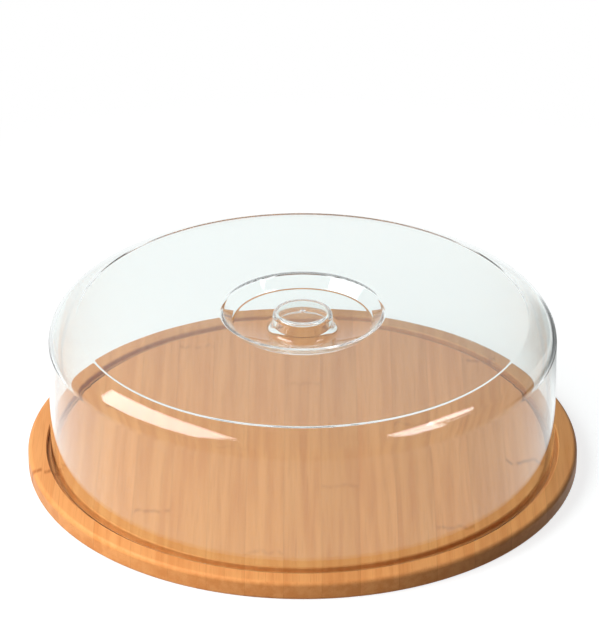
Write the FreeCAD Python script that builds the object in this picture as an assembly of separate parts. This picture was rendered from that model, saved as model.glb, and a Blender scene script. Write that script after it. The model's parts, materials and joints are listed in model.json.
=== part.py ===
import FreeCAD
import Part
import math
import os

# Round bamboo serving board, glued up from staves, with a clear moulded cover.
# The cover stands in a ring groove in the board and is lifted by a knob sunk in its top.
# Millimetres, +Z up. The origin is the centre of the board's underside.

# Board
BOARD_DIAMETER = 320.0
BOARD_THICKNESS = 11.0
BOARD_TOP_EDGE_RADIUS = 2.5
BOARD_FOOT_EDGE_RADIUS = 2.0
STAVE_COUNT = 15

# Ring groove that seats the cover's rim
EDGE_LAND_WIDTH = 11.0
GROOVE_DEPTH = 3.0
GROOVE_LIP_CHAMFER = 0.6
RIM_CLEARANCE = 2.1

# Cover: wall, rounded shoulder, sloped band that bulges a little, and crowned top
COVER_WALL = 2.5
COVER_HEIGHT = 89.2
COVER_DRAFT_DEGREES = 0.5
SHOULDER_INNER_RADIUS = 8.0
BAND_WIDTH = 16.9
BAND_TOP_DEGREES = 18.3
BAND_RADIUS = 60.0
BROW_INNER_RADIUS = 1.0
CROWN_RADIUS = 2250.0
RIM_EDGE_RADIUS = 0.7

# Sunken grip: a knob that stands in a dished well
KNOB_DIAMETER = 34.0
KNOB_DRAFT_DEGREES = 5.0
KNOB_SINK = 1.0
KNOB_EDGE_INNER_RADIUS = 0.6
KNOB_FOOT_RADIUS = 3.5
WELL_FINGER_GAP = 23.0
WELL_DEPTH = 14.0
WELL_WALL_DEPTH = 6.8
WELL_WALL_DEGREES = 43.0
WELL_LIP_INNER_RADIUS = 1.0
WELL_CREASE_RADIUS = 3.0
GATE_DIMPLE_DIAMETER = 3.6
GATE_DIMPLE_DEPTH = 0.5

# How far a cutting solid runs past what it cuts
OVERRUN = 5.0

# Points nearer than this are one point
JOIN_GAP = 0.001

# Sizes that follow from those above
BOARD_RADIUS = BOARD_DIAMETER / 2
STAVE_WIDTH = BOARD_DIAMETER / STAVE_COUNT
GROOVE_OUTER_RADIUS = BOARD_RADIUS - EDGE_LAND_WIDTH
RIM_OUTER_RADIUS = GROOVE_OUTER_RADIUS - RIM_CLEARANCE
GROOVE_INNER_RADIUS = RIM_OUTER_RADIUS - COVER_WALL - RIM_CLEARANCE
SEAT_HEIGHT = BOARD_THICKNESS - GROOVE_DEPTH
SHOULDER_RADIUS = SHOULDER_INNER_RADIUS + COVER_WALL
BROW_RADIUS = BROW_INNER_RADIUS + COVER_WALL
WELL_LIP_RADIUS = WELL_LIP_INNER_RADIUS + COVER_WALL
KNOB_EDGE_RADIUS = KNOB_EDGE_INNER_RADIUS + COVER_WALL
CROWN_TOP = SEAT_HEIGHT + COVER_HEIGHT

UP = FreeCAD.Vector(0, 0, 1)
CENTRE = FreeCAD.Vector(0, 0, 0)
FULL_TURN = 360


def station(radius, height):
    """A point of a section, in the half plane that is turned about the vertical axis."""
    return FreeCAD.Vector(radius, 0, height)


def slope(degrees):
    """The unit vector that leans by this angle from level, in the section's plane."""
    return FreeCAD.Vector(math.cos(math.radians(degrees)), 0, math.sin(math.radians(degrees)))


def turned(edges):
    """The solid that a closed section makes when it is turned about the vertical axis."""
    face = Part.Face(Part.Wire(edges))
    return face.revolve(CENTRE, UP, FULL_TURN)


def rounded_outline(corners):
    """Edges of a closed outline. Each corner is a point and the radius that rounds it."""
    runs = []
    for index, (point, radius) in enumerate(corners):
        back = (corners[index - 1][0] - point).normalize()
        ahead = (corners[(index + 1) % len(corners)][0] - point).normalize()
        half_angle = back.getAngle(ahead) / 2
        reach = radius / math.tan(half_angle)
        middle = point + (back + ahead).normalize() * (radius / math.sin(half_angle) - radius)
        runs.append((point + back * reach, middle, point + ahead * reach, radius))
    edges = []
    for index, (start, middle, end, radius) in enumerate(runs):
        if radius:
            edges.append(Part.Arc(start, middle, end).toShape())
        edges.append(Part.LineSegment(end, runs[(index + 1) % len(runs)][0]).toShape())
    return edges


# Board and staves
def whole_board():
    """The board before it is parted into staves, with its eased edges and ring groove."""
    lip_height = BOARD_THICKNESS - GROOVE_LIP_CHAMFER
    return turned(rounded_outline([
        (station(0, 0), 0),
        (station(BOARD_RADIUS, 0), BOARD_FOOT_EDGE_RADIUS),
        (station(BOARD_RADIUS, BOARD_THICKNESS), BOARD_TOP_EDGE_RADIUS),
        (station(GROOVE_OUTER_RADIUS + GROOVE_LIP_CHAMFER, BOARD_THICKNESS), 0),
        (station(GROOVE_OUTER_RADIUS, lip_height), 0),
        (station(GROOVE_OUTER_RADIUS, SEAT_HEIGHT), 0),
        (station(GROOVE_INNER_RADIUS, SEAT_HEIGHT), 0),
        (station(GROOVE_INNER_RADIUS, lip_height), 0),
        (station(GROOVE_INNER_RADIUS - GROOVE_LIP_CHAMFER, BOARD_THICKNESS), 0),
        (station(0, BOARD_THICKNESS), 0),
    ]))


def bamboo_stave(board, number):
    """One stave, counted from the left. Its long faces are glued to its neighbours."""
    length = BOARD_DIAMETER + 2 * OVERRUN
    height = BOARD_THICKNESS + 2 * OVERRUN
    left = number * STAVE_WIDTH - BOARD_RADIUS
    slab = Part.makeBox(STAVE_WIDTH, length, height, FreeCAD.Vector(left, -length / 2, -OVERRUN))
    return board.common(slab)


# Cover
def meet_lines(point_a, normal_a, gap_a, point_b, normal_b, gap_b):
    """The centre that stands off two lines by these gaps, along the lines' normals."""
    reach_a = point_a.dot(normal_a) + gap_a
    reach_b = point_b.dot(normal_b) + gap_b
    spread = normal_a.x * normal_b.z - normal_a.z * normal_b.x
    radius = (reach_a * normal_b.z - reach_b * normal_a.z) / spread
    height = (normal_a.x * reach_b - normal_b.x * reach_a) / spread
    return station(radius, height)


def on_circle(radius, middle, reach):
    """The upper point of a circle at this radius from the axis."""
    return station(radius, middle.z + math.sqrt(reach ** 2 - radius ** 2))


def meet_line_and_circle(point, normal, gap, middle, reach):
    """The two centres, lower first, that stand off a line by a gap and lie this far from a middle."""
    along = station(-normal.z, normal.x)
    foot = point + normal * gap
    offset = foot - middle
    lean = offset.dot(along)
    travel = math.sqrt(lean ** 2 - offset.dot(offset) + reach ** 2)
    centres = (foot + along * (side * travel - lean) for side in (-1, 1))
    return sorted(centres, key=lambda centre: centre.z)


def meet_circles(middle_a, reach_a, middle_b, reach_b):
    """The centre, the one farther from the axis, that lies these distances from two middles."""
    along = middle_b - middle_a
    apart = along.Length
    along.normalize()
    travel = (reach_a ** 2 - reach_b ** 2 + apart ** 2) / (2 * apart)
    offset = station(-along.z, along.x) * math.sqrt(reach_a ** 2 - travel ** 2)
    foot = middle_a + along * travel
    return max(foot + offset, foot - offset, key=lambda centre: centre.x)


def bend(centre, radius, normal_in, normal_out):
    """An arc of the skin, as start, middle and end, each a point with its outward normal.
    A positive radius bulges outwards, and a negative one is hollow."""
    normals = (normal_in, (normal_in + normal_out).normalize(), normal_out)
    return [(centre + normal * radius, normal) for normal in normals]


def cover_skin():
    """The cover's outer skin from rim to axis, as bends that straight runs join."""
    wall_normal = slope(COVER_DRAFT_DEGREES)
    band_top_normal = slope(90 - BAND_TOP_DEGREES)
    well_normal = slope(180 - WELL_WALL_DEGREES)
    knob_normal = slope(KNOB_DRAFT_DEGREES)

    # Wall, shoulder, band and crown, with a brow where the band meets the crown
    rim = station(RIM_OUTER_RADIUS, SEAT_HEIGHT)
    level_wall = FreeCAD.Vector(1 / wall_normal.x, 0, 0)
    crown_centre = station(0, CROWN_TOP - CROWN_RADIUS)
    band_top = on_circle(RIM_OUTER_RADIUS - BAND_WIDTH, crown_centre, CROWN_RADIUS)
    band_centre = band_top - band_top_normal * BAND_RADIUS
    shoulder = meet_line_and_circle(
        rim, wall_normal, -SHOULDER_RADIUS, band_centre, BAND_RADIUS - SHOULDER_RADIUS)[1]
    brow = meet_circles(band_centre, BAND_RADIUS - BROW_RADIUS, crown_centre, CROWN_RADIUS - BROW_RADIUS)

    # Well: a sloped wall from its mouth to a crease, and a dished floor
    crease_radius = KNOB_DIAMETER / 2 + WELL_FINGER_GAP
    mouth_radius = crease_radius + WELL_WALL_DEPTH * math.tan(math.radians(WELL_WALL_DEGREES))
    mouth = on_circle(mouth_radius, crown_centre, CROWN_RADIUS)
    dish_rise = WELL_DEPTH - WELL_WALL_DEPTH
    dish_radius = (crease_radius ** 2 + dish_rise ** 2) / (2 * dish_rise)
    dish_centre = station(0, mouth.z - WELL_DEPTH + dish_radius)
    lip = meet_line_and_circle(
        mouth, well_normal, -WELL_LIP_RADIUS, crown_centre, CROWN_RADIUS - WELL_LIP_RADIUS)[1]
    crease = meet_line_and_circle(
        mouth, well_normal, WELL_CREASE_RADIUS, dish_centre, dish_radius - WELL_CREASE_RADIUS)[0]

    # Knob
    knob_top = station(0, mouth.z - KNOB_SINK)
    knob_corner = station(KNOB_DIAMETER / 2, knob_top.z)
    foot = meet_line_and_circle(
        knob_corner, knob_normal, KNOB_FOOT_RADIUS, dish_centre, dish_radius - KNOB_FOOT_RADIUS)[0]
    edge = meet_lines(knob_corner, knob_normal, -KNOB_EDGE_RADIUS, knob_top, UP, -KNOB_EDGE_RADIUS)

    band_start = (shoulder - band_centre).normalize()
    band_end = (brow - band_centre).normalize()
    crown_start = (brow - crown_centre).normalize()
    crown_end = (lip - crown_centre).normalize()
    dish_start = (dish_centre - crease).normalize()
    dish_end = (dish_centre - foot).normalize()
    return [
        [(rim, level_wall)],
        bend(shoulder, SHOULDER_RADIUS, wall_normal, band_start),
        bend(band_centre, BAND_RADIUS, band_start, band_end),
        bend(brow, BROW_RADIUS, band_end, crown_start),
        bend(crown_centre, CROWN_RADIUS, crown_start, crown_end),
        bend(lip, WELL_LIP_RADIUS, crown_end, well_normal),
        bend(crease, -WELL_CREASE_RADIUS, well_normal, dish_start),
        bend(dish_centre, -dish_radius, dish_start, dish_end),
        bend(foot, -KNOB_FOOT_RADIUS, dish_end, knob_normal),
        bend(edge, KNOB_EDGE_RADIUS, knob_normal, UP),
        [(knob_top, UP)],
    ]


def skin_edges(skin, depth):
    """The edges of the skin, taken this far into the plastic, and their first and last points."""
    bends = [[point - normal * depth for point, normal in stations] for stations in skin]
    edges = [Part.Arc(*points).toShape() for points in bends if len(points) == 3]
    for points, next_points in zip(bends, bends[1:]):
        start, end = points[-1], next_points[0]
        if start.distanceToPoint(end) > JOIN_GAP:
            edges.append(Part.LineSegment(start, end).toShape())
    return edges, bends[0][0], bends[-1][-1]


def gate_dimple(knob_top):
    """The shallow hollow round the moulding's gate, in the middle of the knob."""
    half_width = GATE_DIMPLE_DIAMETER / 2
    radius = (half_width ** 2 + GATE_DIMPLE_DEPTH ** 2) / (2 * GATE_DIMPLE_DEPTH)
    return Part.makeSphere(radius, knob_top + UP * (radius - GATE_DIMPLE_DEPTH))


def clear_cover():
    """The moulded cover, one wall thick from its rim to the top of its knob."""
    skin = cover_skin()
    outer, outer_rim, outer_top = skin_edges(skin, 0)
    inner, inner_rim, inner_top = skin_edges(skin, COVER_WALL)
    ends = [
        Part.LineSegment(outer_rim, inner_rim).toShape(),
        Part.LineSegment(outer_top, inner_top).toShape(),
    ]
    shell = turned(Part.__sortEdges__(outer + inner + ends))
    rim_edges = [e for e in shell.Edges if e.BoundBox.ZMax < SEAT_HEIGHT + RIM_EDGE_RADIUS / 2]
    return shell.makeFillet(RIM_EDGE_RADIUS, rim_edges).cut(gate_dimple(outer_top))


# Write every piece
os.makedirs("parts", exist_ok=True)
BOARD = whole_board()
for stave_number in range(STAVE_COUNT):
    bamboo_stave(BOARD, stave_number).exportStep(f"parts/bamboo_stave_{stave_number + 1:02d}.step")
clear_cover().exportStep("parts/clear_cover.step")
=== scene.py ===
import cmath
import json
import math

import bpy
from mathutils import Matrix, Vector


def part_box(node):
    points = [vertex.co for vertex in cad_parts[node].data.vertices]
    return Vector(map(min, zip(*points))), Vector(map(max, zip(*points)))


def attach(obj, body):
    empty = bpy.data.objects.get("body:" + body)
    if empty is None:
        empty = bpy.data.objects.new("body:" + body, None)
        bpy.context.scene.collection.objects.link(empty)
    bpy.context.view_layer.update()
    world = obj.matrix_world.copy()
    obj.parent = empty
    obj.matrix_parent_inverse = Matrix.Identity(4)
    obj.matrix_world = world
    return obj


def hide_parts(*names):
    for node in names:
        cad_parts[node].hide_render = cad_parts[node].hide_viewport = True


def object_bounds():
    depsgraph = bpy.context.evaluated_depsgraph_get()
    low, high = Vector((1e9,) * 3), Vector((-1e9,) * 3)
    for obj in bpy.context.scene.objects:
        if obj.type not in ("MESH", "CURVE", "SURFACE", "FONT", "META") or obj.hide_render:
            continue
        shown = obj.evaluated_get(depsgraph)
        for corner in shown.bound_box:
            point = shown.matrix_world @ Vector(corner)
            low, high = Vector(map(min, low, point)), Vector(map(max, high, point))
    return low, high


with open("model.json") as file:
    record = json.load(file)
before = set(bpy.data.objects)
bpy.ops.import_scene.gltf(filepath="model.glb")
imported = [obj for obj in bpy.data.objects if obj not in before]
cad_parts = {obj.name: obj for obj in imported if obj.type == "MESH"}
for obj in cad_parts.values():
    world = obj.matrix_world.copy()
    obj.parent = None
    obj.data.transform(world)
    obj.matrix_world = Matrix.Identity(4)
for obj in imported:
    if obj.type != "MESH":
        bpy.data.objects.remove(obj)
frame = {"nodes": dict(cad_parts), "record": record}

bl_info = {
    "name": "Bamboo Board and Clear Cover",
    "version": (1, 0, 0),
    "blender": (4, 5, 0),
    "location": "3D View > Sidebar > Cake Board",
    "description": "Finishes a round bamboo board and turns the clear moulded cover that stands on it",
    "category": "Object",
}

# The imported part, in metres, with +Z up and the origin at the centre of the board's underside
CAD_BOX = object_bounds()
BODIES = frame["record"]["behaviour"]["bodies"]
STAVES = sorted(BODIES["board"])
COVER_NODE = BODIES["cover"][0]
MIDDLE_STAVE_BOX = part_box(STAVES[len(STAVES) // 2])
COVER_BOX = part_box(COVER_NODE)
BOARD_RADIUS = CAD_BOX[1].x
BOARD_TOP = MIDDLE_STAVE_BOX[1].z
STAVE_WIDTH = MIDDLE_STAVE_BOX[1].x - MIDDLE_STAVE_BOX[0].x

HALF = 0.5

# The curve by which a screen's numbers become amounts of light
SCREEN_WHITE = 255
SCREEN_OFFSET = 0.055
SCREEN_POWER = 2.4

# Where the Mix node keeps its sockets for colours
MIX_SHARE, MIX_FIRST, MIX_SECOND, MIX_RESULT = 0, 6, 7, 2

# Pairs are ramps: the value at which something starts to show, and the value at which it shows fully
SMEARS_SHOW = (0.42, 0.72)
SCUFFS_SHOW = (0.35, 0.75)
FIBRES_SHOW = (0.5, 0.74)
STREAKS_SHOW = (0.3, 0.7)

# A stave's grain is taken this much farther along the noise than its neighbour's
STAVE_SHIFT = 7.31

# Multiples of this share fall evenly between nothing and one
GOLDEN_SHARE = 0.618034

# A node's line: its waves and breaks across a stave, and its strength from the board's middle outwards
WAVES_PER_STAVE = 2.6
WAVE_GAIN = 4
BREAKS_PER_STAVE = 7.0
BREAK_SHIFT = 41.7
BREAKS_SHOW = (0.25, 0.6)
OUTER_STAVES = (0.3, 0.95)
INNER_STRENGTH = 0.3

# How high each mark stands, and how much of the bamboo's colour it covers
FIBRE_RELIEF = -0.5
GLUE_RELIEF = -1.0
KNUCKLE_RELIEF = 0.2
FIBRE_COVER = 0.3
GLUE_COVER = 0.3
KNUCKLE_COVER = 0.7

# The groove's stain and painted shade: metres in from the board's edge, metres below its top, and shares of
# its thickness
GROOVE_INSET = (0.004, 0.006)
GROOVE_SINK = (0.0001, 0.0012)
GROOVE_FOOT = (0.25, 0.5)

# The fewest steps into which a run of the section is divided
FEWEST_STEPS = 2

# Corners of the floor's inner and outer edges
FLOOR_STEPS = 64

# Lamps, in metres: the middles of a lamp's two ends, and its width
KEY_LIGHT = ((-0.62, -0.4, 0.4), (-0.32, -0.68, 0.4), 0.4)
LEFT_SOFTBOX = ((-0.313, -0.199, 0.741), (-0.561, 0.188, 0.521), 0.38)
RIGHT_SOFTBOX = ((0.31, -0.12, 0.73), (0.413, -0.008, 0.667), 0.24)
RIGHT_STRIP = ((0.328, 0.046, 0.705), (0.44, 0.177, 0.636), 0.04)

# Dark floor, in metres: a corner at the left, and at the back right a wedge whose edge slants outwards
CORNER_EDGE = (-0.2, -0.26)
CORNER_BACK = (0.38, 0.3)
CORNER_SHADE = 0.25
WEDGE_SLANT = 0.35
WEDGE_EDGE = (0.09, 0.14)
WEDGE_BACK = (1.6, 1.0)
WEDGE_SHADE = 0.86
DARK_FRONT = (0.05, 0.15)

# The dark patch of the room and the room below the floor, as parts of a unit direction
PATCH_LEFT = (0.26, 0.42)
PATCH_RIGHT = (0.66, 0.58)
PATCH_TOP = (0.6, 0.42)
PATCH_FOOT = (0.05, 0.18)
PATCH_FRONT = (0.1, 0.45)
BELOW_FLOOR = (0.0, -0.1)

# The longer side of the picture in pixels, the camera's sensor in millimetres and its reach in metres
FRAME_HEIGHT = 642
SENSOR_WIDTH = 36.0
CAMERA_REACH = 100


def screen_colour(red, green, blue):
    """A colour as it reads on a screen, 0 to 255, turned into the linear value that a shader takes."""
    channels = (value / SCREEN_WHITE for value in (red, green, blue))
    scale = 1 + SCREEN_OFFSET
    return tuple(((value + SCREEN_OFFSET) / scale) ** SCREEN_POWER for value in channels) + (1.0,)


def size_setting(name, default, description):
    """A length in metres that a user may change."""
    return bpy.props.FloatProperty(
        name=name, description=description, default=default, min=0, precision=5, unit="LENGTH")


def angle_setting(name, degrees, description):
    """An angle that a user may change."""
    return bpy.props.FloatProperty(
        name=name, description=description, default=math.radians(degrees), subtype="ANGLE")


def share_setting(name, default, description):
    """A share from nothing to all that a user may change."""
    return bpy.props.FloatProperty(
        name=name, description=description, default=default, min=0, max=1, subtype="FACTOR")


def amount_setting(name, default, description):
    """A plain number that a user may change."""
    return bpy.props.FloatProperty(name=name, description=description, default=default, min=0)


def count_setting(name, default, description):
    """A whole number that a user may change."""
    return bpy.props.IntProperty(name=name, description=description, default=default, min=1)


def colour_setting(name, default, description):
    """A colour that a user may change."""
    return bpy.props.FloatVectorProperty(
        name=name, description=description, default=default, size=4, min=0, max=1, subtype="COLOR")


class BambooFinish(bpy.types.PropertyGroup):
    """Colours and grain of the oiled bamboo."""

    pale: colour_setting("Pale", screen_colour(241, 167, 101), "The lighter bamboo between the fibres")
    deep: colour_setting("Deep", screen_colour(229, 150, 85), "The darker bamboo of a broad streak")
    fibre: colour_setting("Fibre", screen_colour(196, 116, 56), "A fibre bundle")
    knuckle: colour_setting("Knuckle", screen_colour(166, 82, 28), "The line where a node crosses a stave")
    # This dark colour also paints shade into the routed groove, besides the stain that cut bamboo takes up
    # there
    stain_and_shade: colour_setting("Stain", screen_colour(112, 56, 22), "The dark that cut bamboo takes up with oil")
    glue: colour_setting("Glue Line", screen_colour(186, 112, 56), "The hairline between two staves")
    fibre_width: size_setting("Fibre Width", 0.0007, "Width of a fibre bundle")
    fibre_length: size_setting("Fibre Length", 0.034, "Length of a fibre bundle along the stave")
    streak_width: size_setting("Streak Width", 0.005, "Width of a broad streak")
    streak_length: size_setting("Streak Length", 0.13, "Length of a broad streak along the stave")
    internode: size_setting("Internode", 0.31, "Distance from one node to the next along a stave")
    first_node: share_setting("First Node", 0.384, "Where along its internode the first stave's node lies")
    knuckle_width: size_setting("Knuckle Width", 0.0034, "Half the width of a node's dark line")
    knuckle_wave: size_setting("Knuckle Wave", 0.003, "How far a node's line waves to and fro")
    glue_width: size_setting("Glue Line Width", 0.0003, "Width of the hairline between staves")
    stave_contrast: share_setting("Stave Contrast", 0.05, "How much one stave differs from the next")
    # The groove's darkening is partly a stain and partly painted shade
    groove_stain_and_shade: share_setting("Groove Stain", 0.27, "How much darker the routed groove is")
    end_stain: share_setting("End Stain", 0.22, "How much darker the end grain of the edge is")
    seed: amount_setting("Seed", 4.0, "Which set of staves is picked")


class CoverShape(bpy.types.PropertyGroup):
    """Sizes of the cover's section and the look of its plastic."""

    rim_radius: size_setting("Rim Radius", COVER_BOX[1].x, "Outer radius of the rim")
    seat_height: size_setting("Seat Height", COVER_BOX[0].z, "Height at which the rim stands in the groove")
    wall: size_setting("Wall", 0.0025, "Thickness of the moulding")
    height: size_setting("Height", 0.0892, "Height from the rim to the crown's highest point")
    draft: angle_setting("Draft", 0.5, "Lean of the wall")
    shoulder: size_setting("Shoulder", 0.0105, "Outer radius of the bend from wall to band")
    band_width: size_setting("Band Width", 0.0169, "Level width of the sloped band, from rim to crown")
    band_top: angle_setting("Band Top", 18.3, "How far the band slopes down where it meets the crown")
    band: size_setting("Band", 0.06, "Radius of the band, which bulges a little")
    brow: size_setting("Brow", 0.0035, "Outer radius of the bend from band to crown")
    crown: size_setting("Crown", 2.25, "Radius of the domed top")
    rim_edge: size_setting("Rim Edge", 0.0007, "Radius that eases the rim's two corners")
    knob_radius: size_setting("Knob Radius", 0.017, "Radius of the knob at its top")
    knob_draft: angle_setting("Knob Draft", 5, "Lean of the knob's side")
    knob_sink: size_setting("Knob Sink", 0.001, "How far the knob's top lies below the well's mouth")
    knob_edge: size_setting("Knob Edge", 0.0031, "Outer radius of the knob's top edge")
    knob_foot: size_setting("Knob Foot", 0.0035, "Radius where the knob's side meets the well")
    finger_gap: size_setting("Finger Gap", 0.023, "Width of the well's dished floor, beside the knob")
    well_depth: size_setting("Well Depth", 0.014, "Depth that the dished floor would reach on the axis")
    well_wall_depth: size_setting("Well Wall Depth", 0.0068, "Depth of the sloped wall, down to the crease")
    well_slope: angle_setting("Well Slope", 43, "Lean of the well's wall from upright")
    well_lip: size_setting("Well Lip", 0.0035, "Outer radius of the well's lip")
    well_crease: size_setting("Well Crease", 0.003, "Radius of the crease round the dished floor")
    gate_radius: size_setting("Gate Radius", 0.0018, "Radius of the hollow round the gate mark")
    gate_depth: size_setting("Gate Depth", 0.0005, "Depth of the hollow round the gate mark")
    gate_pip_radius: size_setting("Gate Pip Radius", 0.00055, "Radius of the pip that the gate leaves")
    gate_edge: size_setting("Gate Edge", 0.00015, "Radius that eases the gate mark's corners")
    longest_step: size_setting("Longest Step", 0.006, "Longest straight step along the section")
    arc_step: angle_setting("Arc Step", 4, "Largest turn from one step of a bend to the next")
    ease: size_setting("Ease", 0.0004, "Short step that keeps a flat run flat beside a bend")
    turn_steps: count_setting("Turn Steps", 224, "Steps round the axis")
    join_gap: size_setting("Join Gap", 0.0000004, "Points nearer than this are one point")
    tint: colour_setting("Tint", (0.917, 0.963, 0.961, 1), "Colour that light keeps through the wall")
    bend_of_light: amount_setting("Refraction", 1.49, "Index of refraction of the plastic")


class StudioSetup(bpy.types.PropertyGroup):
    """Floor, lights and camera."""

    aim_height: size_setting("Aim Height", 0.05, "Height on the axis that the camera is measured from")
    distance: size_setting("Distance", 2.4, "Distance of the camera from that height")
    elevation: angle_setting("Elevation", 28.9, "How high the camera stands")
    tilt: angle_setting("Tilt", 0.826, "How far above that height the camera points")
    pan: angle_setting("Pan", 0.0494, "How far to the left of the axis the camera points")
    focal_pixels: amount_setting("Focal Length", 4142.5, "Focal length in pixels of the picture")
    key_power: amount_setting("Key Power", 4.6, "Power of the light at the front left, in watts")
    left_power: amount_setting("Left Power", 3.5, "Power of the softbox over the left, in watts")
    right_power: amount_setting("Right Power", 0.75, "Power of the softbox over the right, in watts")
    strip_power: amount_setting("Strip Power", 0.12, "Power of the strip by the right softbox, in watts")
    room_light: share_setting("Room Light", 0.1, "Brightness of the white room as it lights surfaces")
    under_light: share_setting("Under Light", 0.7, "Brightness of the room below the floor")
    room_shade: share_setting("Room Shade", 0.95, "How dark the room's patch is in reflections")
    bounces: count_setting("Bounces", 40, "How often light may bounce inside the clear wall")
    floor_size: size_setting("Floor Size", 16.0, "Width of the floor")
    floor_tuck: size_setting("Floor Tuck", 0.003, "How far the floor reaches in under the board's edge")
    shadow_share: share_setting("Shadow Share", 0.5, "Share of the seen floor that takes the shadow")
    shadow_reach: size_setting("Shadow Reach", 0.5, "Distance from the axis at which no more shadow shows")
    near_white: amount_setting("Near White", 1.6, "Strength of the floor's plain white beside the board")
    floor_colour: colour_setting("Floor Colour", (0.3, 0.3, 0.3, 1), "The floor as it lights the board")
    floor_white: colour_setting("Floor White", (0.75, 0.75, 0.75, 1), "The lit floor as it is seen")


class NodeSheet:
    """Short calls that draw the nodes of one tree."""

    def __init__(self, tree):
        self.tree = tree

    def node(self, kind, inputs=None, **settings):
        """Adds a node. Inputs are given by name or number, as values or as other nodes' outputs."""
        made = self.tree.nodes.new(kind)
        for name, value in settings.items():
            setattr(made, name, value)
        for name, value in (inputs or {}).items():
            self.feed(made.inputs[name], value)
        return made

    def feed(self, socket, value):
        """Joins an output to a socket, or sets the socket's own value."""
        if isinstance(value, bpy.types.NodeSocket):
            self.tree.links.new(value, socket)
        else:
            socket.default_value = value

    def maths(self, operation, *values):
        """The result of one sum."""
        return self.node("ShaderNodeMath", dict(enumerate(values)), operation=operation).outputs[0]

    def product(self, first, *others):
        """All the values multiplied together."""
        result = first
        for value in others:
            result = self.maths("MULTIPLY", result, value)
        return result

    def split(self, vector):
        """The X, Y and Z of a vector."""
        return self.node("ShaderNodeSeparateXYZ", {0: vector}).outputs

    def blend(self, share, first, second, blend_type="MIX"):
        """A colour between two colours."""
        inputs = {MIX_SHARE: share, MIX_FIRST: first, MIX_SECOND: second}
        made = self.node("ShaderNodeMix", inputs, data_type="RGBA", blend_type=blend_type)
        return made.outputs[MIX_RESULT]

    def ramp(self, value, low, high):
        """Nothing below low, all above high, and a smooth slope between them. Low may be above high."""
        inputs = {"Value": value, "From Min": low, "From Max": high}
        return self.node("ShaderNodeMapRange", inputs, interpolation_type="SMOOTHSTEP").outputs["Result"]

    def noise(self, place, scale, detail, roughness, dimensions="3D"):
        """A soft random field."""
        place_input = "W" if dimensions == "1D" else "Vector"
        inputs = {place_input: place, "Scale": scale, "Detail": detail, "Roughness": roughness}
        return self.node("ShaderNodeTexNoise", inputs, noise_dimensions=dimensions).outputs[0]


def new_material(name):
    """An empty material, its sheet and its output."""
    material = bpy.data.materials.new(name)
    material.use_nodes = True
    material.node_tree.nodes.clear()
    sheet = NodeSheet(material.node_tree)
    return material, sheet, sheet.node("ShaderNodeOutputMaterial")


def new_group(name, inputs, outputs):
    """An empty shader group, its sheet, and its inner input and output sockets."""
    tree = bpy.data.node_groups.new(name, "ShaderNodeTree")
    for direction, sockets in (("INPUT", inputs), ("OUTPUT", outputs)):
        for socket_name, kind in sockets.items():
            tree.interface.new_socket(socket_name, in_out=direction, socket_type=f"NodeSocket{kind}")
    sheet = NodeSheet(tree)
    return tree, sheet, sheet.node("NodeGroupInput").outputs, sheet.node("NodeGroupOutput").inputs


def handling_marks_group():
    """Smears and fine scuffs that hands and cloths leave, as a roughness."""
    tree, sheet, given, out = new_group(
        "handling_marks",
        {"Place": "Vector", "Smear Scale": "Float", "Scuff Scale": "Float", "Polished": "Float",
         "Worn": "Float"},
        {"Roughness": "Float"})
    smear = sheet.noise(given["Place"], given["Smear Scale"], detail=3.0, roughness=0.55)
    scuff = sheet.noise(given["Place"], given["Scuff Scale"], detail=4.0, roughness=0.7)
    worn = sheet.product(sheet.ramp(smear, *SMEARS_SHOW), sheet.ramp(scuff, *SCUFFS_SHOW))
    spread = sheet.maths("SUBTRACT", given["Worn"], given["Polished"])
    sheet.feed(out["Roughness"], sheet.maths("MULTIPLY_ADD", worn, spread, given["Polished"]))
    return tree


def handling_marks():
    """The shared group of handling marks, made once."""
    return bpy.data.node_groups.get("handling_marks") or handling_marks_group()


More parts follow.
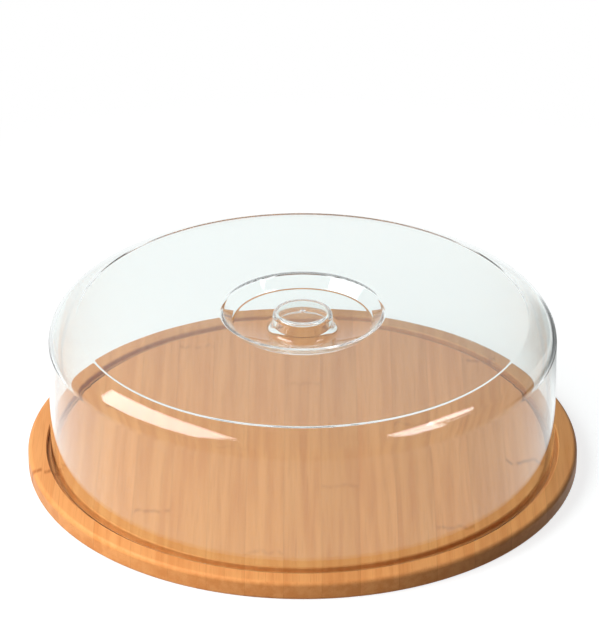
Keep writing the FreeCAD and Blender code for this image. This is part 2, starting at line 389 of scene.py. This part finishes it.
def stave_grain_group():
    """Bamboo's grain along each stave, as masks and a height."""
    tree, sheet, given, out = new_group(
        "stave_grain",
        {"Place": "Vector", "Stave Width": "Float", "Board Radius": "Float", "Seed": "Float",
         "Fibre Width": "Float", "Fibre Length": "Float", "Streak Width": "Float", "Streak Length": "Float",
         "Internode": "Float", "First Node": "Float", "Knuckle Width": "Float", "Knuckle Wave": "Float",
         "Glue Width": "Float"},
        {"Tone": "Float", "Streak": "Float", "Fibre": "Float", "Knuckle": "Float", "Glue": "Float",
         "Height": "Float"})
    place = sheet.split(given["Place"])

    # Which stave a point is in, how far across it, and a random number for that stave
    from_left = sheet.maths("ADD", place["X"], given["Board Radius"])
    across = sheet.maths("DIVIDE", from_left, given["Stave Width"])
    stave = sheet.maths("FLOOR", across)
    pick = sheet.maths("ADD", stave, given["Seed"])
    chance = sheet.node("ShaderNodeTexWhiteNoise", {"W": pick}, noise_dimensions="1D")
    sheet.feed(out["Tone"], chance.outputs["Value"])

    # Fibres and streaks: noise drawn out along the stave, which ends as dots on the end grain
    along = sheet.maths("MULTIPLY_ADD", stave, STAVE_SHIFT, place["Y"])

    def drawn_out(width, length, detail, roughness):
        fine_x = sheet.maths("DIVIDE", place["X"], width)
        fine_z = sheet.maths("DIVIDE", place["Z"], width)
        coarse_y = sheet.maths("DIVIDE", along, length)
        stretched = sheet.node("ShaderNodeCombineXYZ", {"X": fine_x, "Y": coarse_y, "Z": fine_z})
        return sheet.noise(stretched.outputs[0], 1.0, detail, roughness)

    fibre_field = drawn_out(given["Fibre Width"], given["Fibre Length"], detail=3.0, roughness=0.6)
    fibre = sheet.ramp(fibre_field, *FIBRES_SHOW)
    sheet.feed(out["Fibre"], fibre)
    streak_field = drawn_out(given["Streak Width"], given["Streak Length"], detail=2.0, roughness=0.5)
    sheet.feed(out["Streak"], sheet.ramp(streak_field, *STREAKS_SHOW))

    # Knuckles: one soft wavy line across each stave, broken up, and darkest on the outer staves
    wobble = sheet.noise(across, WAVES_PER_STAVE, detail=1.0, roughness=0.5, dimensions="1D")
    wave_height = sheet.maths("MULTIPLY", given["Knuckle Wave"], WAVE_GAIN)
    wave = sheet.product(sheet.maths("SUBTRACT", wobble, HALF), wave_height)
    share = sheet.maths("FRACT", sheet.maths("MULTIPLY_ADD", stave, GOLDEN_SHARE, given["First Node"]))
    node_place = sheet.product(sheet.maths("SUBTRACT", share, HALF), given["Internode"])
    waved = sheet.maths("ADD", place["Y"], wave)
    off_node = sheet.maths("ABSOLUTE", sheet.maths("SUBTRACT", waved, node_place))
    shifted = sheet.maths("ADD", across, BREAK_SHIFT)
    breaks = sheet.noise(shifted, BREAKS_PER_STAVE, detail=2.0, roughness=0.6, dimensions="1D")
    off_middle = sheet.maths("DIVIDE", sheet.maths("ABSOLUTE", place["X"]), given["Board Radius"])
    outer = sheet.ramp(off_middle, *OUTER_STAVES)
    strength = sheet.maths("MULTIPLY_ADD", outer, 1 - INNER_STRENGTH, INNER_STRENGTH)
    line = sheet.ramp(off_node, given["Knuckle Width"], 0.0)
    knuckle = sheet.product(line, sheet.ramp(breaks, *BREAKS_SHOW), strength)
    sheet.feed(out["Knuckle"], knuckle)

    # Glue lines: the nearer of the stave's two long edges
    edge = sheet.product(sheet.maths("PINGPONG", across, HALF), given["Stave Width"])
    glue = sheet.ramp(edge, given["Glue Width"], 0.0)
    sheet.feed(out["Glue"], glue)

    height = sheet.maths("MULTIPLY", fibre, FIBRE_RELIEF)
    height = sheet.maths("MULTIPLY_ADD", glue, GLUE_RELIEF, height)
    sheet.feed(out["Height"], sheet.maths("MULTIPLY_ADD", knuckle, KNUCKLE_RELIEF, height))
    return tree


def bamboo_material(finish, grain, marks):
    """Oiled caramel bamboo, darker on the end grain, and darker in the routed groove by a stain and by
    painted shade.
    """
    material, sheet, output = new_material("oiled_bamboo")
    place = sheet.node("ShaderNodeTexCoord").outputs["Object"]
    masks = sheet.node("ShaderNodeGroup", {
        "Place": place, "Stave Width": STAVE_WIDTH, "Board Radius": BOARD_RADIUS, "Seed": finish.seed,
        "Fibre Width": finish.fibre_width, "Fibre Length": finish.fibre_length,
        "Streak Width": finish.streak_width, "Streak Length": finish.streak_length,
        "Internode": finish.internode, "First Node": finish.first_node,
        "Knuckle Width": finish.knuckle_width, "Knuckle Wave": finish.knuckle_wave,
        "Glue Width": finish.glue_width}, node_tree=grain).outputs

    colour = sheet.blend(masks["Streak"], tuple(finish.pale), tuple(finish.deep))
    colour = sheet.blend(sheet.product(masks["Fibre"], FIBRE_COVER), colour, tuple(finish.fibre))
    # Each stave is lighter or darker than the mean by up to the contrast
    off_mean = sheet.maths("SUBTRACT", masks["Tone"], HALF)
    tone = sheet.maths("MULTIPLY_ADD", off_mean, 2 * finish.stave_contrast, 1.0)
    toned = sheet.node("ShaderNodeCombineColor", {0: tone, 1: tone, 2: tone}).outputs[0]
    colour = sheet.blend(1.0, colour, toned, "MULTIPLY")
    colour = sheet.blend(sheet.product(masks["Glue"], GLUE_COVER), colour, tuple(finish.glue))
    colour = sheet.blend(sheet.product(masks["Knuckle"], KNUCKLE_COVER), colour, tuple(finish.knuckle))

    # The groove lies below the top and inside the edge, and the end grain faces along the staves. The
    # groove's darkening is partly stain and partly painted shade.
    spot = sheet.split(place)
    squares = [sheet.maths("POWER", spot[axis], 2) for axis in "XY"]
    radius = sheet.maths("SQRT", sheet.maths("ADD", *squares))
    inside = sheet.ramp(radius, *(BOARD_RADIUS - inset for inset in GROOVE_INSET))
    below = sheet.ramp(spot["Z"], *(BOARD_TOP - sink for sink in GROOVE_SINK))
    above = sheet.ramp(spot["Z"], *(BOARD_TOP * share for share in GROOVE_FOOT))
    groove = sheet.product(inside, below, above)
    normal = sheet.split(sheet.node("ShaderNodeNewGeometry").outputs["Normal"])
    end_grain = sheet.maths("POWER", normal["Y"], 2)
    # Stain on the end grain, and stain with painted shade in the groove
    stain_and_shade = sheet.maths(
        "MAXIMUM", sheet.product(groove, finish.groove_stain_and_shade), sheet.product(end_grain, finish.end_stain))
    colour = sheet.blend(stain_and_shade, colour, tuple(finish.stain_and_shade))

    rough = sheet.node("ShaderNodeGroup", {
        "Place": place, "Smear Scale": 22.0, "Scuff Scale": 160.0, "Polished": 0.42, "Worn": 0.55},
        node_tree=marks)
    bump = sheet.node("ShaderNodeBump", {"Height": masks["Height"], "Strength": 0.35, "Distance": 0.0001})
    surface = sheet.node("ShaderNodeBsdfPrincipled", {
        "Base Color": colour, "Roughness": rough.outputs[0], "Normal": bump.outputs[0],
        "Specular IOR Level": 0.15})
    sheet.feed(output.inputs["Surface"], surface.outputs[0])
    return material


def clear_material(shape, marks):
    """Clear moulded plastic that lets the lamps light what is under it."""
    material, sheet, output = new_material("clear_moulding")
    place = sheet.node("ShaderNodeTexCoord").outputs["Object"]
    rough = sheet.node("ShaderNodeGroup", {
        "Place": place, "Smear Scale": 18.0, "Scuff Scale": 300.0, "Polished": 0.0, "Worn": 0.06},
        node_tree=marks)
    flow = sheet.noise(place, scale=24.0, detail=1.0, roughness=0.4)
    bump = sheet.node("ShaderNodeBump", {"Height": flow, "Strength": 1.0, "Distance": 0.00005})
    plastic = sheet.node("ShaderNodeBsdfPrincipled", {
        "Base Color": tuple(shape.tint), "Roughness": rough.outputs[0], "Normal": bump.outputs[0],
        "Transmission Weight": 1.0, "IOR": shape.bend_of_light})

    # The lamps' light and light from the board pass straight through, and each of the wall's faces tints them
    face_tint = tuple(math.sqrt(value) for value in shape.tint)
    passing = sheet.node("ShaderNodeBsdfTransparent", {"Color": face_tint})
    path = sheet.node("ShaderNodeLightPath").outputs
    passes = sheet.maths("MAXIMUM", path["Is Shadow Ray"], path["Is Diffuse Ray"])
    mixed = sheet.node("ShaderNodeMixShader", {0: passes, 1: plastic.outputs[0], 2: passing.outputs[0]})
    sheet.feed(output.inputs["Surface"], mixed.outputs[0])
    return material


# The cover's section. A point is a complex number: its radius plus its height times j.
UP = 1j


def lean(radians):
    """The unit normal that leans by this angle from level."""
    return cmath.rect(1, radians)


def dot(first, second):
    """How far one vector reaches along another."""
    return (first * second.conjugate()).real


def on_circle(radius, middle, reach):
    """The upper point of a circle at this radius from the axis."""
    return complex(radius, middle.imag + math.sqrt(reach ** 2 - radius ** 2))


def off_two_lines(point_a, normal_a, point_b, normal_b, gap):
    """The centre that stands off two lines by this gap, along the lines' normals."""
    reach_a = dot(point_a, normal_a) + gap
    reach_b = dot(point_b, normal_b) + gap
    spread = (normal_a.conjugate() * normal_b).imag
    return (reach_b * normal_a - reach_a * normal_b) * 1j / spread


def off_two_circles(middle_a, reach_a, middle_b, reach_b):
    """The centre, the one farther from the axis, that lies these distances from two middles."""
    apart = abs(middle_b - middle_a)
    along = (middle_b - middle_a) / apart
    travel = (reach_a ** 2 - reach_b ** 2 + apart ** 2) / (2 * apart)
    offset = along * 1j * math.sqrt(reach_a ** 2 - travel ** 2)
    foot = middle_a + along * travel
    return max(foot + offset, foot - offset, key=lambda centre: centre.real)


def off_line_and_circle(point, normal, gap, middle, reach):
    """The two centres, lower first, that stand off a line by a gap and lie this far from a middle."""
    along = normal * 1j
    foot = point + normal * gap
    lag = dot(foot - middle, along)
    travel = math.sqrt(lag ** 2 - abs(foot - middle) ** 2 + reach ** 2)
    centres = [foot + along * (side * travel - lag) for side in (-1, 1)]
    return sorted(centres, key=lambda centre: centre.imag)


def steps_of(length, longest, ease):
    """Shares at which a run is divided, with a short first and last step where there is room for them."""
    count = max(FEWEST_STEPS, math.ceil(length / longest))
    even = [number / count for number in range(count + 1)]
    short = ease / length
    if short > even[1] / 2:
        return even
    return [0, short, *even[1:-1], 1 - short, 1]


def bend(shape, centre, radius, normal_in, normal_out):
    """Points of an arc with their outward normals. A negative radius is hollow."""
    start, end = cmath.phase(normal_in), cmath.phase(normal_out)
    longest = min(shape.longest_step, abs(radius) * shape.arc_step)
    shares = steps_of(abs(radius * (end - start)), longest, shape.ease)
    normals = [lean(start + (end - start) * share) for share in shares]
    return [(centre + radius * normal, normal) for normal in normals]


def straight(shape, start, end):
    """Points of a straight run, without its two ends."""
    shares = steps_of(abs(end - start), shape.longest_step, shape.ease)
    return [start + (end - start) * share for share in shares[1:-1]]


def rounded(shape, corners):
    """Points along straight runs whose corners are rounded, each given as a point and a radius."""
    points = [corners[0][0]]
    for (before, _), (corner, radius), (after, _) in zip(corners, corners[1:], corners[2:]):
        back = (before - corner) / abs(before - corner)
        ahead = (after - corner) / abs(after - corner)
        half_angle = abs(cmath.phase(ahead / back)) / 2
        middle = (back + ahead) / abs(back + ahead)
        centre = corner + middle * radius / math.sin(half_angle)
        start = corner + back * radius / math.tan(half_angle) - centre
        turn = cmath.phase((corner + ahead * radius / math.tan(half_angle) - centre) / start)
        count = math.ceil(abs(turn) / shape.arc_step)
        points += straight(shape, points[-1], centre + start)
        points += [centre + start * lean(turn * number / count) for number in range(count + 1)]
    return points + straight(shape, points[-1], corners[-1][0]) + [corners[-1][0]]


def cover_skin(shape):
    """The outer skin from the shoulder to the knob's flat top, as points with outward normals."""
    wall_normal = lean(shape.draft)
    band_top_normal = lean(math.pi / 2 - shape.band_top)
    well_normal = lean(math.pi - shape.well_slope)
    knob_normal = lean(shape.knob_draft)
    rim = complex(shape.rim_radius, shape.seat_height)
    crown_centre = complex(0, shape.seat_height + shape.height - shape.crown)
    band_top = on_circle(shape.rim_radius - shape.band_width, crown_centre, shape.crown)
    band = band_top - band_top_normal * shape.band
    _, shoulder = off_line_and_circle(
        rim, wall_normal, -shape.shoulder, band, shape.band - shape.shoulder)
    brow = off_two_circles(band, shape.band - shape.brow, crown_centre, shape.crown - shape.brow)

    crease_radius = shape.knob_radius + shape.finger_gap
    mouth_radius = crease_radius + shape.well_wall_depth * math.tan(shape.well_slope)
    mouth = on_circle(mouth_radius, crown_centre, shape.crown)
    rise = shape.well_depth - shape.well_wall_depth
    dish = (crease_radius ** 2 + rise ** 2) / (2 * rise)
    dish_centre = complex(0, mouth.imag - shape.well_depth + dish)
    _, lip = off_line_and_circle(
        mouth, well_normal, -shape.well_lip, crown_centre, shape.crown - shape.well_lip)
    crease, _ = off_line_and_circle(
        mouth, well_normal, shape.well_crease, dish_centre, dish - shape.well_crease)

    knob_corner = complex(shape.knob_radius, mouth.imag - shape.knob_sink)
    foot, _ = off_line_and_circle(
        knob_corner, knob_normal, shape.knob_foot, dish_centre, dish - shape.knob_foot)
    edge = off_two_lines(knob_corner, knob_normal, knob_corner, UP, -shape.knob_edge)

    band_start, band_end = lean(cmath.phase(shoulder - band)), lean(cmath.phase(brow - band))
    crown_start, crown_end = lean(cmath.phase(brow - crown_centre)), lean(cmath.phase(lip - crown_centre))
    dish_start, dish_end = lean(cmath.phase(dish_centre - crease)), lean(cmath.phase(dish_centre - foot))
    bends = (
        bend(shape, shoulder, shape.shoulder, wall_normal, band_start),
        bend(shape, band, shape.band, band_start, band_end),
        bend(shape, brow, shape.brow, band_end, crown_start),
        bend(shape, crown_centre, shape.crown, crown_start, crown_end),
        bend(shape, lip, shape.well_lip, crown_end, well_normal),
        bend(shape, crease, -shape.well_crease, well_normal, dish_start),
        bend(shape, dish_centre, -dish, dish_start, dish_end),
        bend(shape, foot, -shape.knob_foot, dish_end, knob_normal),
        bend(shape, edge, shape.knob_edge, knob_normal, UP),
    )
    skin = list(bends[0])
    for stations in bends[1:]:
        (last, normal), (first, _) = skin[-1], stations[0]
        if abs(first - last) > shape.ease:
            skin += [(point, normal) for point in straight(shape, last, first)]
            skin.append(stations[0])
        skin += stations[1:]
    return skin


def cover_section(shape):
    """The whole section as points, from the axis on top, round the rim, to the axis under the knob."""
    skin = cover_skin(shape)
    outer = [point for point, _ in skin]
    inner = [point - normal * shape.wall for point, normal in skin]
    under_knob = complex(0, inner[-1].imag)
    outer_rim = complex(shape.rim_radius, shape.seat_height)
    inner_rim = outer_rim - shape.wall / math.cos(shape.draft)
    rim = rounded(shape, [
        (inner[0], 0), (inner_rim, shape.rim_edge), (outer_rim, shape.rim_edge), (outer[0], 0)])
    knob_top = outer[-1].imag
    gate_floor = knob_top - shape.gate_depth
    pip_top = (knob_top + gate_floor) / 2
    gate = rounded(shape, [
        (outer[-1], 0),
        (complex(shape.gate_radius, knob_top), 2 * shape.gate_edge),
        (complex(shape.gate_pip_radius, gate_floor), shape.gate_edge),
        (complex(shape.gate_pip_radius, pip_top), shape.gate_edge),
        (complex(0, pip_top), 0),
    ])
    roof = [*straight(shape, inner[-1], under_knob), under_knob]
    return gate[::-1] + outer[-2:0:-1] + rim[::-1] + inner[1:] + roof


def lathe_tree():
    """Turns a section about the upright axis and joins its seam and poles."""
    tree = bpy.data.node_groups.new("turn_about_axis", "GeometryNodeTree")
    kinds = {"Section": "Geometry", "Turn Steps": "Int", "Join Gap": "Float", "Material": "Material"}
    sockets = {
        name: tree.interface.new_socket(name, in_out="INPUT", socket_type=f"NodeSocket{kind}")
        for name, kind in kinds.items()}
    tree.interface.new_socket("Piece", in_out="OUTPUT", socket_type="NodeSocketGeometry")
    sheet = NodeSheet(tree)
    given = sheet.node("NodeGroupInput").outputs

    # A grid with one row for each point of the section and one column for each step of the turn
    stations = sheet.node("GeometryNodeAttributeDomainSize", {0: given["Section"]}, component="MESH")
    columns = sheet.maths("ADD", given["Turn Steps"], 1)
    grid = sheet.node("GeometryNodeMeshGrid", {
        "Vertices X": stations.outputs["Point Count"], "Vertices Y": columns})
    number = sheet.node("GeometryNodeInputIndex").outputs[0]
    row = sheet.maths("FLOOR", sheet.maths("DIVIDE", sheet.maths("ADD", number, HALF), columns))
    column = sheet.maths("SUBTRACT", number, sheet.product(row, columns))

    # Each point of the section, turned by its column's angle
    station = sheet.node("GeometryNodeInputPosition").outputs[0]
    point = sheet.node(
        "GeometryNodeSampleIndex", {"Geometry": given["Section"], "Value": station, "Index": row},
        data_type="FLOAT_VECTOR", domain="POINT")
    spot = sheet.split(point.outputs[0])
    step = sheet.maths("DIVIDE", math.tau, given["Turn Steps"])
    angle = sheet.product(sheet.maths("MODULO", column, given["Turn Steps"]), step)
    turned = sheet.node("ShaderNodeCombineXYZ", {
        "X": sheet.product(spot["X"], sheet.maths("COSINE", angle)),
        "Y": sheet.product(spot["X"], sheet.maths("SINE", angle)),
        "Z": spot["Z"]})
    placed = sheet.node("GeometryNodeSetPosition", {
        "Geometry": grid.outputs["Mesh"], "Position": turned.outputs[0]})
    joined = sheet.node("GeometryNodeMergeByDistance", {
        "Geometry": placed.outputs[0], "Distance": given["Join Gap"]})
    smooth = sheet.node("GeometryNodeSetShadeSmooth", {"Geometry": joined.outputs[0]})
    real = sheet.node("GeometryNodeRealizeInstances", {"Geometry": smooth.outputs[0]})
    finished = sheet.node("GeometryNodeSetMaterial", {
        "Geometry": real.outputs[0], "Material": given["Material"]})
    output = sheet.node("NodeGroupOutput")
    sheet.feed(output.inputs[0], finished.outputs[0])
    return tree, {name: socket.identifier for name, socket in sockets.items()}


def new_object(name, data):
    """An object at the origin, linked to the scene."""
    made = bpy.data.objects.new(name, data)
    bpy.context.scene.collection.objects.link(made)
    return made


def plain_mesh(source, name):
    """The evaluated shape of an object as a plain mesh object, which takes the place of the first."""
    graph = bpy.context.evaluated_depsgraph_get()
    mesh = bpy.data.meshes.new_from_object(source.evaluated_get(graph))
    mesh.name = name
    # The grid brings an empty material slot, which comes before the plastic's
    mesh.materials.pop(index=0)
    source.modifiers.clear()
    bpy.data.objects.remove(source)
    return new_object(name, mesh)


def seen_rays(sheet, path):
    """One for rays from the camera, a reflection or a view through the cover, and nothing for the rest."""
    by_plastic = sheet.maths("MAXIMUM", path["Is Glossy Ray"], path["Is Transmission Ray"])
    return sheet.maths("MAXIMUM", path["Is Camera Ray"], by_plastic)


def mirrored_rays(sheet, path):
    """One for rays that have been mirrored on their way, and nothing for the rest."""
    return sheet.maths("MINIMUM", path["Glossy Depth"], 1.0)


def floor_ring(studio):
    """A flat ring from just under the board's edge outwards, with its faces up."""
    radii = (BOARD_RADIUS - studio.floor_tuck, studio.floor_size / 2)
    spokes = [lean(math.tau * number / FLOOR_STEPS) for number in range(FLOOR_STEPS)]
    points = [(radius * spoke.real, radius * spoke.imag, 0) for radius in radii for spoke in spokes]
    after = [*range(1, FLOOR_STEPS), 0]
    faces = [(near, near + FLOOR_STEPS, far + FLOOR_STEPS, far) for near, far in enumerate(after)]
    mesh = bpy.data.meshes.new("floor")
    mesh.from_pydata(points, [], faces)
    return mesh


def floor_material(studio):
    """White that takes the board's shadow and can be looked through from below."""
    material, sheet, output = new_material("white_floor")
    place = sheet.node("ShaderNodeTexCoord").outputs["Object"]
    spot = sheet.split(place)
    path = sheet.node("ShaderNodeLightPath").outputs
    seen = seen_rays(sheet, path)

    # Near the board a share of what is seen is lit floor, which takes the shadow, and the rest is plain white
    away = sheet.node("ShaderNodeVectorMath", {0: place}, operation="LENGTH").outputs["Value"]
    near = sheet.ramp(away, studio.shadow_reach, BOARD_RADIUS)
    plain_share = sheet.maths("MULTIPLY_ADD", near, -studio.shadow_share, 1.0)
    seen_white = sheet.product(seen, plain_share)
    plain = sheet.maths("MULTIPLY_ADD", near, studio.near_white - 1.0, 1.0)

    # A corner at the left and a wedge at the back right that only the cover's reflections show as dark
    corner = sheet.product(
        sheet.ramp(spot["X"], *CORNER_EDGE), sheet.ramp(spot["Y"], *CORNER_BACK), CORNER_SHADE)
    outward = sheet.maths("MULTIPLY_ADD", spot["Y"], -WEDGE_SLANT, spot["X"])
    wedge = sheet.product(sheet.ramp(outward, *WEDGE_EDGE), sheet.ramp(spot["Y"], *WEDGE_BACK), WEDGE_SHADE)
    sides = sheet.maths("ADD", corner, wedge)
    dark = sheet.product(sides, sheet.ramp(spot["Y"], *DARK_FRONT), mirrored_rays(sheet, path))
    shade = sheet.maths("SUBTRACT", 1.0, dark)

    white = sheet.node("ShaderNodeEmission", {"Strength": sheet.product(plain, shade)})
    colour = sheet.blend(seen, tuple(studio.floor_colour), tuple(studio.floor_white))
    pale = sheet.node("ShaderNodeBsdfDiffuse", {"Color": colour})
    lit = sheet.node("ShaderNodeMixShader", {0: seen_white, 1: pale.outputs[0], 2: white.outputs[0]})
    open_below = sheet.node("ShaderNodeBsdfTransparent")
    below = sheet.node("ShaderNodeNewGeometry").outputs["Backfacing"]
    mixed = sheet.node("ShaderNodeMixShader", {0: below, 1: lit.outputs[0], 2: open_below.outputs[0]})
    sheet.feed(output.inputs["Surface"], mixed.outputs[0])
    return material


def lay_floor(studio):
    """A wide white floor that keeps the shadow. It is open from below and under the board's flat."""
    mesh = floor_ring(studio)
    mesh.materials.append(floor_material(studio))
    floor = new_object("floor", mesh)


def light_room(scene, studio):
    """A white room, dimmer as a light than as a background, with a dark patch that reflections show."""
    world = bpy.data.worlds.new("white_room")
    world.use_nodes = True
    world.node_tree.nodes.clear()
    sheet = NodeSheet(world.node_tree)
    toward = sheet.split(sheet.node("ShaderNodeTexCoord").outputs["Generated"])
    path = sheet.node("ShaderNodeLightPath").outputs
    seen = seen_rays(sheet, path)
    wide = sheet.product(sheet.ramp(toward["X"], *PATCH_LEFT), sheet.ramp(toward["X"], *PATCH_RIGHT))
    high = sheet.product(sheet.ramp(toward["Z"], *PATCH_TOP), sheet.ramp(toward["Z"], *PATCH_FOOT))
    patch = sheet.product(wide, high, sheet.ramp(toward["Y"], *PATCH_FRONT), studio.room_shade)
    backdrop = sheet.maths("SUBTRACT", 1.0, sheet.product(patch, mirrored_rays(sheet, path)))
    beneath = sheet.ramp(toward["Z"], *BELOW_FLOOR)
    glow = sheet.maths("MULTIPLY_ADD", beneath, studio.under_light, studio.room_light)
    lit = sheet.product(sheet.maths("SUBTRACT", 1.0, seen), glow)
    strength = sheet.maths("MULTIPLY_ADD", seen, backdrop, lit)
    background = sheet.node("ShaderNodeBackground", {"Color": (1, 1, 1, 1), "Strength": strength})
    output = sheet.node("ShaderNodeOutputWorld")
    sheet.feed(output.inputs["Surface"], background.outputs[0])
    scene.world = world


def hang_lamp(name, place, power, shape="RECTANGLE"):
    """A soft light that reaches from start to end and faces the middle of the board."""
    start, end, width = place
    start, end = Vector(start), Vector(end)
    middle = (start + end) / 2
    along = (end - start).normalized()
    back = middle - Vector((0, 0, BOARD_TOP))
    facing = (back - along * back.dot(along)).normalized()
    lamp = bpy.data.lights.new(name, "AREA")
    lamp.shape = shape
    lamp.size = (end - start).length
    lamp.size_y = width
    lamp.energy = power
    holder = new_object(name, lamp)
    holder.location = middle
    holder.rotation_euler = Matrix((along, facing.cross(along), facing)).transposed().to_euler()
    return holder


def hang_lamps(studio):
    """A key light that no reflection shows, and lamps over both sides whose reflections lie on the band."""
    key = hang_lamp("key_light", KEY_LIGHT, studio.key_power)
    key.visible_glossy = False
    key.visible_transmission = False
    hang_lamp("left_softbox", LEFT_SOFTBOX, studio.left_power)
    softbox = hang_lamp("right_softbox", RIGHT_SOFTBOX, studio.right_power)
    strip = hang_lamp("right_strip", RIGHT_STRIP, studio.strip_power, "ELLIPSE")
    for reflected in (softbox, strip):
        reflected.visible_diffuse = False


def place_camera(scene, studio):
    """The camera, at the photograph's viewing angle."""
    lens = bpy.data.cameras.new("camera")
    lens.sensor_width = SENSOR_WIDTH
    lens.lens = studio.focal_pixels * SENSOR_WIDTH / FRAME_HEIGHT
    lens.clip_end = CAMERA_REACH
    camera = new_object("camera", lens)
    back = Vector((0, -math.cos(studio.elevation), math.sin(studio.elevation)))
    camera.location = Vector((0, 0, studio.aim_height)) + back * studio.distance
    camera.rotation_euler = (math.pi / 2 - studio.elevation + studio.tilt, 0, studio.pan)
    scene.camera = camera


def set_view(scene, studio):
    """Shows colours as they are, and lets light bounce often enough inside the clear wall."""
    scene.view_settings.view_transform = "Standard"
    scene.cycles.max_bounces = studio.bounces
    scene.cycles.transmission_bounces = studio.bounces
    scene.cycles.glossy_bounces = studio.bounces
    scene.cycles.transparent_max_bounces = studio.bounces


class CAKEBOARD_OT_finish_board(bpy.types.Operator):
    """Give the glued-up staves their oiled bamboo"""

    bl_idname = "cakeboard.finish_board"
    bl_label = "Finish Board"

    def execute(self, context):
        bamboo = bamboo_material(context.scene.bamboo_finish, stave_grain_group(), handling_marks())
        for name in STAVES:
            mesh = frame["nodes"][name].data
            mesh.materials.clear()
            mesh.materials.append(bamboo)
        return {"FINISHED"}


class CAKEBOARD_OT_turn_cover(bpy.types.Operator):
    """Turn the clear cover from its section"""

    bl_idname = "cakeboard.turn_cover"
    bl_label = "Turn Cover"

    def execute(self, context):
        shape = context.scene.cover_shape
        points = [(point.real, 0, point.imag) for point in cover_section(shape)]
        section = bpy.data.meshes.new("cover_section")
        section.from_pydata(points, [(number, number + 1) for number in range(len(points) - 1)], [])
        blank = new_object("cover_section", section)
        tree, sockets = lathe_tree()
        lathe = blank.modifiers.new("turn", "NODES")
        lathe.node_group = tree
        lathe[sockets["Turn Steps"]] = shape.turn_steps
        lathe[sockets["Join Gap"]] = shape.join_gap
        lathe[sockets["Material"]] = clear_material(shape, handling_marks())
        cover = plain_mesh(blank, "moulded_cover")
        if not cover.data.polygons:
            raise RuntimeError("the cover's section made no surface")
        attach(cover, "cover")
        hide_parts(COVER_NODE)
        return {"FINISHED"}


class CAKEBOARD_OT_set_stage(bpy.types.Operator):
    """Lay the floor and set the lights and the camera"""

    bl_idname = "cakeboard.set_stage"
    bl_label = "Set Stage"

    def execute(self, context):
        studio = context.scene.studio_setup
        lay_floor(studio)
        light_room(context.scene, studio)
        hang_lamps(studio)
        place_camera(context.scene, studio)
        set_view(context.scene, studio)
        return {"FINISHED"}


class CAKEBOARD_PT_sidebar(bpy.types.Panel):
    """The finishes, sizes and stage of the board and its cover"""

    bl_label = "Cake Board"
    bl_idname = "CAKEBOARD_PT_sidebar"
    bl_space_type = "VIEW_3D"
    bl_region_type = "UI"
    bl_category = "Cake Board"

    def draw(self, context):
        for operator, settings in STEPS:
            box = self.layout.box()
            box.operator(operator.bl_idname)
            group = getattr(context.scene, settings)
            for name in group.__annotations__:
                box.prop(group, name)


SETTINGS = {"bamboo_finish": BambooFinish, "cover_shape": CoverShape, "studio_setup": StudioSetup}
STEPS = (
    (CAKEBOARD_OT_finish_board, "bamboo_finish"),
    (CAKEBOARD_OT_turn_cover, "cover_shape"),
    (CAKEBOARD_OT_set_stage, "studio_setup"),
)
CLASSES = (*SETTINGS.values(), *(operator for operator, _ in STEPS), CAKEBOARD_PT_sidebar)


def register():
    """Makes the settings, operators and panel known to Blender."""
    for cls in CLASSES:
        bpy.utils.register_class(cls)
    for name, group in SETTINGS.items():
        setattr(bpy.types.Scene, name, bpy.props.PointerProperty(type=group))


def unregister():
    """Takes them away again."""
    for name in SETTINGS:
        delattr(bpy.types.Scene, name)
    for cls in reversed(CLASSES):
        bpy.utils.unregister_class(cls)


def main():
    """Finishes the staves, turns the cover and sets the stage."""
    register()
    bpy.ops.cakeboard.finish_board()
    bpy.ops.cakeboard.turn_cover()
    bpy.ops.cakeboard.set_stage()


if __name__ == "__main__":
    main()
